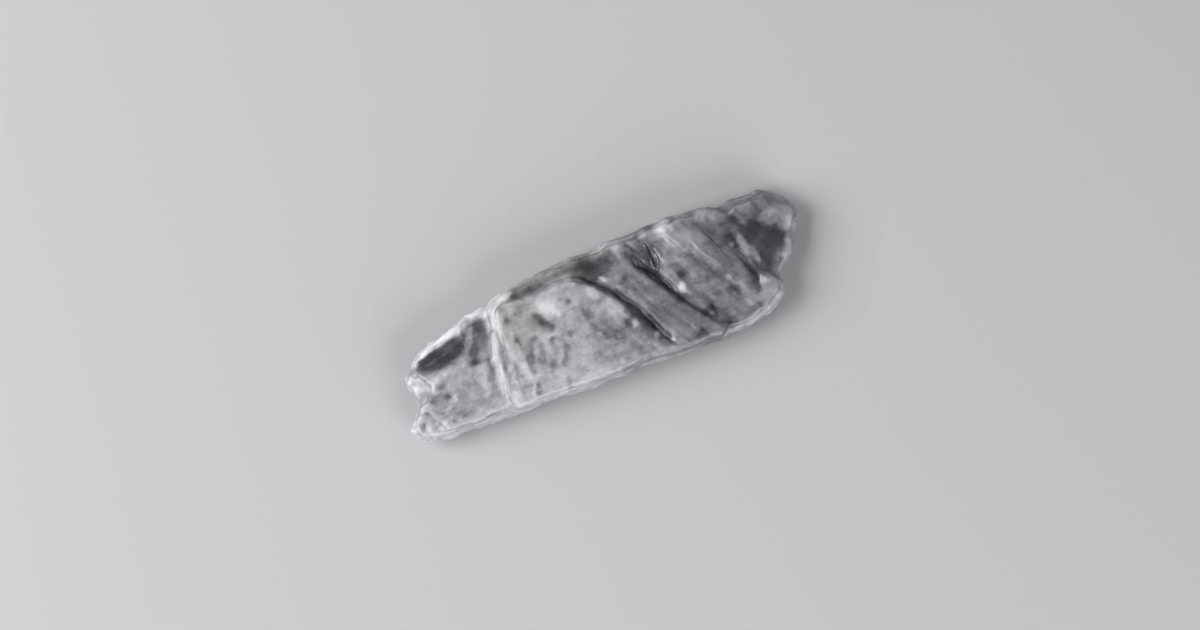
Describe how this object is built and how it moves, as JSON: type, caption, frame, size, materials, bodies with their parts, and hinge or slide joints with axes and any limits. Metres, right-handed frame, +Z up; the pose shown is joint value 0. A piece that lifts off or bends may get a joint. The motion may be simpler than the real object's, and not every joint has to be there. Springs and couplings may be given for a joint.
{
  "type": "selenite crystal blade",
  "caption": "Clear to milky gypsum crystal blade with a pointed end, a stepped broken end, stacked growth layers along its sides and open fractures across its upper face.",
  "frame": {"origin": "on the resting face, under the middle of the blade's box", "axes": "+X along the blade towards its pointed end, +Y across it towards the stepped edge, +Z up through its thickness"},
  "size_m": [0.1098, 0.0338, 0.0119],
  "materials": {
    "crystal": "clear and pearly by turns, with milky veils, dark see-through bands and frosted ledges"
  },
  "bodies": {
    "root": {"selenite_blade": "crystal"}
  },
  "joints": []
}
